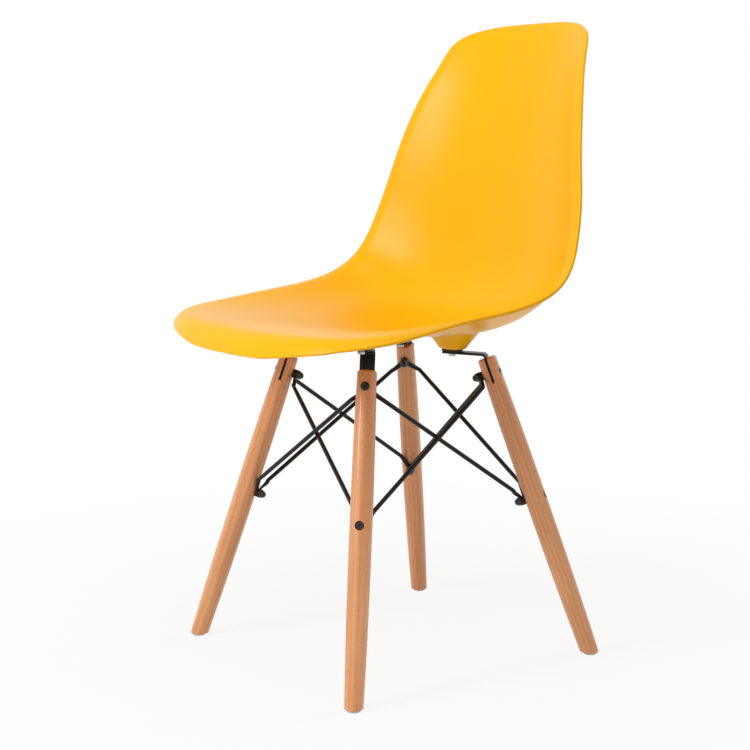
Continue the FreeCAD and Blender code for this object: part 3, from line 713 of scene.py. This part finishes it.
def leg_tree():
    """Tree that turns a leg, saws its slot, sinks its bolt seats and stands it on its foot."""
    tree = bpy.data.node_groups.new("turned_leg", "GeometryNodeTree")
    widest = max(radius for _, radius in LEG_PROFILE)
    names = {}
    for name, kind, value in (
            ("Length", "NodeSocketFloat", LEG_LENGTH * MM),
            ("Widest Radius", "NodeSocketFloat", widest * MM),
            ("Top Rounding", "NodeSocketFloat", LEG_TOP_ROUNDING * MM),
            ("Lean", "NodeSocketFloat", LEAN),
            ("Sawn Foot", "NodeSocketFloat", GLIDE_HEIGHT * MM),
            ("Slot Width", "NodeSocketFloat", (BAR_THICKNESS + 2 * SLOT_GAP) * MM),
            ("Slot Bottom", "NodeSocketFloat", SLOT_BOTTOM * MM),
            ("Bolt Seat Radius", "NodeSocketFloat", BOLT_SEAT_RADIUS * MM),
            ("Bolt Seat Floor", "NodeSocketFloat", (BOLT_HEAD_FACE - BOLT_HEAD_THICKNESS) * MM),
            ("Upper Bolt", "NodeSocketFloat", UPPER_BOLT * MM),
            ("Lower Bolt", "NodeSocketFloat", LOWER_BOLT * MM),
            ("Foot", "NodeSocketVector", (0, 0, 0)),
            ("Turn", "NodeSocketRotation", (0, 0, 0)),
            ("Plank", "NodeSocketVector", (0, 0, 0)),
            ("Finish", "NodeSocketMaterial", None)):
        item = tree.interface.new_socket(name, in_out="INPUT", socket_type=kind)
        if value is not None:
            item.default_value = value
        names[name] = item.identifier
    tree.interface.new_socket("Geometry", in_out="OUTPUT", socket_type="NodeSocketGeometry")
    given = tree.nodes.new("NodeGroupInput").outputs
    blank = add_node(tree, "GeometryNodeMeshCylinder", {
        "Vertices": 80, "Side Segments": 130, "Radius": 1.0, "Depth": 1.0})
    position = add_node(tree, "GeometryNodeInputPosition").outputs[0]
    place = add_node(tree, "ShaderNodeSeparateXYZ", {0: position}).outputs
    share = sum_of(tree, "ADD", place["Z"], 0.5)
    turn = ranged(tree, share, SHOULDER_SHARE, 1.0, 0.0, math.pi / 2)
    rounding = given["Top Rounding"]
    shoulder = sum_of(tree, "SUBTRACT", given["Length"], rounding)
    leaned = sum_of(tree, "MULTIPLY", place["X"], given["Lean"])
    leaned = sum_of(tree, "MULTIPLY", leaned, given["Widest Radius"])
    leaned = sum_of(tree, "MULTIPLY", leaned, FOOT_RADIUS_SHARE)
    lowest = sum_of(tree, "SUBTRACT", given["Sawn Foot"], leaned)
    height = ranged(tree, share, 0.0, SHOULDER_SHARE, lowest, shoulder)
    height = sum_of(tree, "MULTIPLY_ADD", sum_of(tree, "SINE", turn, 0.0), rounding, height)
    profile = tree.nodes.new("ShaderNodeFloatCurve")
    points = profile.mapping.curves[0].points
    start = LEG_PROFILE[0][0]
    stations = [((along - start) / (LEG_LENGTH - start), radius / widest) for along, radius in LEG_PROFILE]
    points[0].location = stations[0]
    points[1].location = (1.0, stations[-1][1])
    for station in stations[1:]:
        points.new(*station)
    profile.mapping.update()
    along = ranged(tree, height, start * MM, LEG_LENGTH * MM, 0.0, 1.0)
    tree.links.new(along, profile.inputs["Value"])
    radius = sum_of(tree, "MULTIPLY", profile.outputs[0], given["Widest Radius"])
    inset = sum_of(tree, "SUBTRACT", 1.0, sum_of(tree, "COSINE", turn, 0.0))
    inset = sum_of(tree, "MULTIPLY", inset, rounding)
    radius = sum_of(tree, "SUBTRACT", radius, inset)
    across_x = sum_of(tree, "MULTIPLY", place["X"], radius)
    across_y = sum_of(tree, "MULTIPLY", place["Y"], radius)
    body = add_node(tree, "GeometryNodeSetPosition", {
        "Geometry": blank.outputs["Mesh"], "Position": vector_of(tree, across_x, across_y, height)})
    slot = add_node(tree, "GeometryNodeMeshCube", {
        "Size": vector_of(tree, given["Slot Width"], SLOT_CUTTER * MM, SLOT_CUTTER * MM)})
    slot_middle = sum_of(tree, "ADD", given["Slot Bottom"], SLOT_CUTTER * MM / 2)
    cutters = [add_node(tree, "GeometryNodeTransform", {
        "Geometry": slot.outputs["Mesh"], "Translation": vector_of(tree, 0.0, 0.0, slot_middle)})]
    seat_middle = sum_of(tree, "ADD", given["Bolt Seat Floor"], BOLT_SEAT_CUTTER * MM / 2)
    for bolt in ("Upper Bolt", "Lower Bolt"):
        seat = add_node(tree, "GeometryNodeMeshCylinder", {
            "Vertices": 48, "Radius": given["Bolt Seat Radius"], "Depth": BOLT_SEAT_CUTTER * MM})
        cutters.append(add_node(tree, "GeometryNodeTransform", {
            "Geometry": seat.outputs["Mesh"], "Rotation": (0.0, math.pi / 2, 0.0),
            "Translation": vector_of(tree, seat_middle, 0.0, given[bolt])}))
    sawn = add_node(tree, "GeometryNodeMeshBoolean", operation="DIFFERENCE", solver="EXACT")
    tree.links.new(body.outputs[0], sawn.inputs["Mesh 1"])
    for cutter in cutters:
        tree.links.new(cutter.outputs[0], sawn.inputs["Mesh 2"])
    grain = add_node(tree, "ShaderNodeVectorMath", {0: position, 1: given["Plank"]}, operation="ADD")
    marked = add_node(tree, "GeometryNodeStoreNamedAttribute", {
        "Geometry": sawn.outputs["Mesh"], "Name": "grain"}, data_type="FLOAT_VECTOR", domain="POINT")
    tree.links.new(grain.outputs[0], next(s for s in marked.inputs if s.name == "Value" and s.enabled))
    stood = add_node(tree, "GeometryNodeTransform", {
        "Geometry": marked.outputs[0], "Rotation": given["Turn"], "Translation": given["Foot"]})
    close_tree(tree, stood.outputs[0], given["Finish"])
    return tree, names


def grown_mesh(name, start_mesh, tree, values):
    """Plain mesh that a tree makes from a starting mesh and its inputs, by socket identifier."""
    carrier = bpy.data.objects.new(name + "_start", start_mesh)
    bpy.context.scene.collection.objects.link(carrier)
    modifier = carrier.modifiers.new("tree", "NODES")
    modifier.node_group = tree
    for identifier, value in values.items():
        modifier[identifier] = value
    carrier.update_tag()
    view = bpy.context.evaluated_depsgraph_get()
    mesh = bpy.data.meshes.new_from_object(carrier.evaluated_get(view))
    mesh.name = name
    bpy.data.objects.remove(carrier)
    return mesh


turned_leg, leg_inputs = leg_tree()
PLANKS = {"front_right": (0.011, 0.004, 0.31), "front_left": (-0.006, 0.013, 1.07),
          "rear_left": (0.002, -0.012, 1.94), "rear_right": (-0.013, -0.003, 2.83)}
for name, corner in corners.items():
    turn = Matrix((corner.out, corner.side, corner.up)).transposed().to_euler()
    mesh = grown_mesh("turned_leg_" + name, bpy.data.meshes.new("blank"), turned_leg, {
        leg_inputs["Sawn Foot"]: GLIDE_HEIGHT * MM / corner.up.z,
        leg_inputs["Foot"]: tuple(corner.foot * MM),
        leg_inputs["Turn"]: tuple(turn),
        leg_inputs["Plank"]: PLANKS[name],
        leg_inputs["Finish"]: finishes["leg_wood"],
    })
    fit_piece("turned_leg_" + name, mesh, "leg_wood", ["leg_" + name], 40.0)


# Fixings set on their axes

def fixing_tree():
    """Tree that sets one fixing at each marked place."""
    tree = bpy.data.node_groups.new("fixings_on_axes", "GeometryNodeTree")
    names = {}
    for name, kind in (("Places", "NodeSocketGeometry"), ("Fixing", "NodeSocketObject"),
                       ("Finish", "NodeSocketMaterial")):
        names[name] = tree.interface.new_socket(name, in_out="INPUT", socket_type=kind).identifier
    tree.interface.new_socket("Geometry", in_out="OUTPUT", socket_type="NodeSocketGeometry")
    given = tree.nodes.new("NodeGroupInput").outputs
    turn = add_node(tree, "GeometryNodeInputNamedAttribute", {"Name": "turn"}, data_type="QUATERNION")
    fixing = add_node(tree, "GeometryNodeObjectInfo", {"Object": given["Fixing"]})
    placed = add_node(tree, "GeometryNodeInstanceOnPoints", {
        "Points": given["Places"], "Instance": fixing.outputs["Geometry"],
        "Rotation": next(s for s in turn.outputs if s.enabled)})
    close_tree(tree, placed.outputs[0], given["Finish"])
    return tree, names


fixings_on_axes, fixing_inputs = fixing_tree()


def axis_turn(axis, across_axis):
    """Rotation that carries Z to an axis and X to a direction across it."""
    z = axis.normalized()
    x = (across_axis - z * across_axis.dot(z)).normalized()
    return Matrix((x, z.cross(x), z)).transposed().to_quaternion()


def fit_fixings(name, shape, places, slot_name, nodes, finish=None):
    """Set a fixing, drawn with its axis on Z, at each (point, turn)."""
    pattern = bpy.data.objects.new(name + "_pattern", mesh_of(name + "_pattern", *shape))
    bpy.context.scene.collection.objects.link(pattern)
    start = bpy.data.meshes.new(name + "_places")
    start.from_pydata([tuple(point * MM) for point, _ in places], [], [])
    turns = start.attributes.new("turn", "QUATERNION", "POINT")
    for item, (_, turn) in zip(turns.data, places):
        item.value = turn
    mesh = grown_mesh(name, start, fixings_on_axes, {
        fixing_inputs["Fixing"]: pattern, fixing_inputs["Finish"]: finishes[finish or slot_name]})
    bpy.data.objects.remove(pattern)
    fit_piece(name, mesh, slot_name, nodes, 35.0, finish)


def leg_radius(along):
    """Radius of a turned leg at a distance along its axis."""
    return float(np.interp(along, [a for a, _ in LEG_PROFILE], [r for _, r in LEG_PROFILE]))


def eye_face(along, place):
    """Distance inwards from a leg's axis to the outer face of an eye on its bolt."""
    return leg_radius(along) + LEG_TO_EYE + place * EYE_THICKNESS


bolt_places = []
nut_places = {UPPER_BOLT: [], LOWER_BOLT: []}
for corner in corners.values():
    for along in (UPPER_BOLT, LOWER_BOLT):
        bolt_places.append((corner.on_bolt(along, 0), axis_turn(corner.out, corner.up)))
        nut_foot = corner.on_bolt(along, -eye_face(along, 2))
        nut_places[along].append((nut_foot, axis_turn(-corner.out, corner.up)))

SOCKET = 2.0
leg_bolt = turned([
    (0, 9.2), (SOCKET, 9.2, True), (SOCKET, 11.7, True), (SOCKET + 0.35, 12.0, True), (4.5, 12.0),
    (5.0, 11.9), (5.35, 11.6), (5.5, 11.2), (5.5, 9.1), (5.35, 8.85), (5.1, 8.8), (3.0, 8.8),
    (3.0, -19.6), (2.6, -20.0), (0, -20.0)], 72)
fit_fixings("leg_bolt_set", leg_bolt, bolt_places, "black_steel", ["leg_bolts_upper", "leg_bolts_lower"],
            "black_oxide")

DOME_RADIUS = 4.7
DOME_FOOT = 4.6
dome = [(DOME_RADIUS * math.cos(math.radians(a)), DOME_FOOT + DOME_RADIUS * math.sin(math.radians(a)))
        for a in range(10, 90, 10)] + [(0, DOME_FOOT + DOME_RADIUS)]
flange = [(0, 0.0), (5.9, 0.0), (6.15, 0.1), (6.2, 0.3), (6.2, 0.9), (6.05, 1.12), (5.85, 1.2)]
six_sides = [(4.86, 1.25, True), (5.0, 1.5, True), (5.0, 4.0, True), (4.9, 4.5), (4.75, DOME_FOOT)]
fit_fixings("domed_hexagon_nuts", turned(flange + six_sides + dome, 72), nut_places[UPPER_BOLT],
            "black_steel", ["cap_nuts_upper"], "black_oxide")
round_side = [(5.35, 1.25), (5.5, 1.5), (5.5, 4.1), (5.35, 4.45), (5.0, DOME_FOOT)]
fit_fixings("domed_round_nuts", turned(flange + round_side + dome, 72), nut_places[LOWER_BOLT],
            "black_steel", ["cap_nuts_lower"], "black_oxide")

arm_places = [(c.arm_top, axis_turn(c.bolt_up, c.level_out)) for c in corners.values()]
under_arm = [(point - c.bolt_up * BAR_THICKNESS, turn)
             for (point, turn), c in zip(arm_places, corners.values())]
seat_bolt = turned([
    (0, -3.9), (1.5, -3.9), (3.2, -4.0), (3.7, -3.95), (3.98, -3.62, True), (4.0, -3.3, True),
    (4.0, -0.3, True), (3.9, 0.0, True), (2.5, 0.0), (2.5, 9.0), (0, 9.0)], 72)
fit_fixings("seat_bolt_set", seat_bolt, under_arm, "zinc_steel", ["seat_bolts"])
rubber_pad = turned([
    (0, 0.0), (13.6, 0.0), (13.95, 0.25), (13.98, 0.6), (13.45, 1.5), (13.1, 2.6), (12.75, 3.25),
    (12.4, 3.5), (0, 3.5)], 72)
fit_fixings("rubber_pad_set", rubber_pad, arm_places, "black_rubber",
            ["seat_pad_" + name for name in corners])

foot_places = [(c.foot, axis_turn(Vector((0, 0, 1)), c.level_out)) for c in corners.values()]
glide = turned([
    (0, 1.6), (3.1, 1.6), (3.1, 0.15), (3.25, 0.0), (7.7, 0.0), (7.95, 0.05), (8.4, 0.5), (8.5, 0.75),
    (8.5, 2.75), (8.3, 3.0), (0, 3.0)], 72)
fit_fixings("nylon_glide_set", glide, foot_places, "glide_nylon", ["glide_" + name for name in corners])
nail = turned([
    (0, 0.75), (1.6, 0.8), (2.5, 0.95), (2.8, 1.2), (2.8, 1.6), (1.1, 1.6), (1.1, 15.0), (0, 16.0)], 48)
fit_fixings("glide_nail_set", nail, foot_places, "zinc_steel", ["glide_nails"])


# Brackets

def bent_bar(corner):
    """Flat bar from the bottom of a leg's slot, round its bend, to the end of its arm."""
    slope = corner.arm_way * math.tan(corner.tilt)
    middle_s = corner.arm_s + corner.arm_way * math.sin(corner.tilt) * BAR_THICKNESS / 2
    middle_z = corner.arm_z - math.cos(corner.tilt) * BAR_THICKNESS / 2
    bend_z = (middle_z - slope * middle_s) / (1 + slope * LEAN)
    foot_z = (SLOT_BOTTOM + SLOT_END_GAP) / math.sqrt(1 + LEAN ** 2)
    arm_end = corner.arm_way * (BAR_WIDTH / 2 + PAD_BOTTOM_RADIUS) / 2
    start = Vector((-LEAN * foot_z, foot_z))
    knee = Vector((-LEAN * bend_z, bend_z))
    end = Vector((middle_s + arm_end, middle_z + slope * arm_end))
    first = (knee - start).normalized()
    second = (end - knee).normalized()
    turn = first.angle(second)
    back = BAR_BEND_RADIUS * math.tan(turn / 2)
    way = 1 if first.x * second.y - first.y * second.x > 0 else -1
    centre = knee - first * back + Vector((-first.y, first.x)) * (way * BAR_BEND_RADIUS)
    stations = [(start, first, BAR_EDGE_ROUND), (start + first * BAR_EDGE_ROUND, first, 0.0)]
    for i in range(13):
        angle = turn * i / 12 * way
        heading = Vector((first.x * math.cos(angle) - first.y * math.sin(angle),
                          first.x * math.sin(angle) + first.y * math.cos(angle)))
        stations.append((centre + Vector((heading.y, -heading.x)) * (way * BAR_BEND_RADIUS), heading, 0.0))
    stations += [(end - second * BAR_EDGE_ROUND, second, 0.0), (end, second, BAR_EDGE_ROUND)]
    half_w = BAR_WIDTH / 2
    half_t = BAR_THICKNESS / 2
    section = []
    for sign_w, sign_t, first_angle in ((1, 1, 0), (-1, 1, 90), (-1, -1, 180), (1, -1, 270)):
        for i in range(4):
            angle = math.radians(first_angle + 30 * i)
            section.append((
                sign_w * (half_w - BAR_EDGE_ROUND) + BAR_EDGE_ROUND * math.cos(angle),
                sign_t * (half_t - BAR_EDGE_ROUND) + BAR_EDGE_ROUND * math.sin(angle)))
    points = []
    for place, heading, inset in stations:
        normal = Vector((-heading.y, heading.x))
        for wide, thick in section:
            wide -= math.copysign(inset, wide)
            thick -= math.copysign(inset, thick)
            flat = place + normal * thick
            middle = corner.foot + corner.level_out * flat.x + Vector((0, 0, flat.y))
            points.append(middle + corner.side * wide)
    count = len(section)
    faces = [tuple(range(count)), tuple(range(len(points) - count, len(points)))[::-1]]
    for row in range(len(stations) - 1):
        for i in range(count):
            j = (i + 1) % count
            faces.append((row * count + i, row * count + j, (row + 1) * count + j, (row + 1) * count + i))
    return np.array(points), faces


for name, corner in corners.items():
    fit_piece("bent_bracket_" + name, mesh_of("bent_bracket_" + name, *bent_bar(corner)), "black_steel",
              ["bracket_" + name], 50.0)


# Crossed rods

def smooth_share(value):
    """Share from 0 to 1 that starts and ends gently."""
    value = min(1.0, max(0.0, value))
    return value * value * (3 - 2 * value)


def forged_rod(upper, lower, place, length, offset, steps=32):
    """Round bar forged flat towards its two eyes."""
    ends = []
    for corner, along in ((upper, UPPER_BOLT), (lower, LOWER_BOLT)):
        eye_middle = eye_face(along, place) + EYE_THICKNESS / 2
        ends.append((corner.out, corner.on_bolt(along, -eye_middle)))
    half_rows = []
    for (out, eye), (_, other) in (ends, ends[::-1]):
        way = other - eye
        way = (way - out * way.dot(out)).normalized()
        wide = out.cross(way)
        rows = []
        for i in range(TONGUE_STEPS + 1):
            distance = TONGUE_START + (length + TONGUE_EASE - TONGUE_START) * i / TONGUE_STEPS
            past_flat = distance - TONGUE_FLAT + TONGUE_LEAD
            share = smooth_share(past_flat / (length + TONGUE_EASE - TONGUE_FLAT))
            rows.append((eye + way * distance + out * (offset * share), wide, out, share))
        half_rows.append(rows)
    rows = half_rows[0]
    start, end = half_rows[0][-1][0], half_rows[1][-1][0]
    bar = (end - start).normalized()
    for i in range(1, 10):
        rows.append((start.lerp(end, i / 10), None, None, 1.0))
    rows += half_rows[1][::-1]
    fixed = half_rows[0][0][1]
    side = (fixed - bar * fixed.dot(bar)).normalized()
    high = bar.cross(side)
    points = [rows[0][0]]
    for middle, wide, out, share in rows:
        half_w = TONGUE_HALF_WIDTH + (ROD_RADIUS - TONGUE_HALF_WIDTH) * share
        half_t = EYE_THICKNESS / 2 + (ROD_RADIUS - EYE_THICKNESS / 2) * share
        power = 4.0 - 2.0 * share
        for i in range(steps):
            angle = 2 * math.pi * i / steps
            ray = side * math.cos(angle) + high * math.sin(angle)
            if wide is None:
                points.append(middle + ray * ROD_RADIUS)
                continue
            a = ray.dot(wide)
            b = ray.dot(out)
            size = math.hypot(a, b)
            a /= size
            b /= size
            reach = (abs(a / half_w) ** power + abs(b / half_t) ** power) ** (-1 / power)
            points.append(middle + wide * (a * reach) + out * (b * reach))
    points.append(rows[-1][0])
    faces = []
    last = len(points) - 1
    for i in range(steps):
        j = (i + 1) % steps
        faces.append((0, 1 + j, 1 + i))
        faces.append((last, last - steps + i, last - steps + j))
        for row in range(len(rows) - 1):
            low = 1 + row * steps
            faces.append((low + i, low + j, low + steps + j, low + steps + i))
    parts = [(np.array(points), faces)]
    ring, ring_faces = turned([
        (3.3, -1.05), (3.45, -1.2), (5.6, -1.2), (5.88, -1.1), (6.0, -0.8),
        (6.0, 0.8), (5.88, 1.1), (5.6, 1.2), (3.45, 1.2), (3.3, 1.05)], 56, True)
    for out, eye in ends:
        turn = np.array(axis_turn(out, Vector((0, 0, 1))).to_matrix())
        parts.append((ring @ turn.T + np.array(eye), ring_faces))
    return joined(parts)


for side, (first, second) in SIDES.items():
    for kind, upper, lower, place, length, offset in (
            ("outer", first, second, 0, OUTER_TONGUE, OUTER_SET),
            ("inner", second, first, 1, INNER_TONGUE, -INNER_SET)):
        name = "forged_rod_" + side + "_" + kind
        shape = forged_rod(corners[upper], corners[lower], place, length, offset)
        fit_piece(name, mesh_of(name, *shape), "black_steel", ["rod_" + side + "_" + kind])

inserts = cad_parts["seat_inserts"]
inserts.data.materials.clear()
inserts.data.materials.append(finishes["insert_brass"])


# Studio

def seen_ray(tree):
    """1 for rays from the camera, a reflection or a look through glass, 0 for the light that falls."""
    path = add_node(tree, "ShaderNodeLightPath").outputs
    return sum_of(tree, "MAXIMUM", path["Is Camera Ray"], sum_of(
        tree, "MAXIMUM", path["Is Glossy Ray"], path["Is Transmission Ray"]))


def pale_floor():
    """Pale paper floor that keeps the chair's shadow."""
    mesh = bpy.data.meshes.new("studio_floor")
    mesh.from_pydata([(-9, -9, 0), (9, -9, 0), (9, 9, 0), (-9, 9, 0)], [], [(0, 1, 2, 3)])
    floor = bpy.data.objects.new("studio_floor", mesh)
    bpy.context.scene.collection.objects.link(floor)
    material = bpy.data.materials.new("pale_paper")
    material.use_nodes = True
    tree = material.node_tree
    tree.nodes.clear()
    paper = add_node(tree, "ShaderNodeBsdfDiffuse", {"Color": (0.80, 0.80, 0.80, 1.0)})
    white = add_node(tree, "ShaderNodeEmission", {"Color": (1.0, 1.0, 1.0, 1.0), "Strength": 1.0})
    place = add_node(tree, "ShaderNodeTexCoord").outputs["Object"]
    distance = add_node(tree, "ShaderNodeVectorMath", {0: place}, operation="LENGTH").outputs["Value"]
    plain = ranged(tree, distance, 0.30, 1.10, 0.87, 1.0)
    mix = add_node(tree, "ShaderNodeMixShader", {
        0: sum_of(tree, "MULTIPLY", seen_ray(tree), plain), 1: paper.outputs[0], 2: white.outputs[0]})
    output = tree.nodes.new("ShaderNodeOutputMaterial")
    tree.links.new(mix.outputs[0], output.inputs["Surface"])
    mesh.materials.append(material)


def studio_sky():
    """Even soft surround, white where it is seen, mirrored or looked through."""
    world = bpy.data.worlds.new("studio_surround")
    bpy.context.scene.world = world
    world.use_nodes = True
    tree = world.node_tree
    tree.nodes.clear()
    soft = add_node(tree, "ShaderNodeBackground", {"Color": (1.0, 1.0, 1.0, 1.0), "Strength": 0.36})
    white = add_node(tree, "ShaderNodeBackground", {"Color": (1.0, 1.0, 1.0, 1.0), "Strength": 1.0})
    mix = add_node(tree, "ShaderNodeMixShader", {
        0: seen_ray(tree), 1: soft.outputs[0], 2: white.outputs[0]})
    output = tree.nodes.new("ShaderNodeOutputWorld")
    tree.links.new(mix.outputs[0], output.inputs["Surface"])


def soft_box(name, place, aim, width, height, power):
    """Area lamp that faces a point."""
    data = bpy.data.lights.new(name, "AREA")
    data.shape = "RECTANGLE"
    data.size = width
    data.size_y = height
    data.energy = power
    lamp = bpy.data.objects.new(name, data)
    lamp.location = place
    lamp.rotation_euler = (Vector(aim) - Vector(place)).to_track_quat("-Z", "Y").to_euler()
    bpy.context.scene.collection.objects.link(lamp)


def photograph_camera():
    """Camera at the photograph's own viewing angle."""
    azimuth = math.radians(55.629)
    elevation = math.radians(8.596)
    roll = math.radians(-0.664)
    level_back = Vector((math.sin(azimuth), -math.cos(azimuth), 0.0))
    back = level_back * math.cos(elevation) + Vector((0.0, 0.0, math.sin(elevation)))
    right = Vector((math.cos(azimuth), math.sin(azimuth), 0.0))
    up = back.cross(right)
    tilted = right * math.cos(roll) + up * math.sin(roll)
    data = bpy.data.cameras.new("photograph_camera")
    data.sensor_width = 36.0
    data.lens = 82.232
    data.clip_end = 60.0
    camera = bpy.data.objects.new("photograph_camera", data)
    place = Vector((1817.38, -1262.49 + BASE_MIDDLE_Y, 697.87)) * MM
    turn = Matrix((tilted, back.cross(tilted), back)).transposed()
    camera.matrix_world = Matrix.Translation(place) @ turn.to_4x4()
    bpy.context.scene.collection.objects.link(camera)
    bpy.context.scene.camera = camera


pale_floor()
studio_sky()
soft_box("key_box", (-0.19, -2.06, 1.49), (-0.15, 0.12, 0.55), 0.62, 0.88, 28.5)
soft_box("top_box", (0.75, -0.65, 2.50), (0.0, 0.0, 0.45), 1.6, 1.6, 16.5)
soft_box("rear_box", (0.30, 2.70, 1.70), (0.0, 0.1, 0.55), 1.6, 1.6, 24.0)
photograph_camera()
bpy.context.scene.view_settings.view_transform = "Standard"
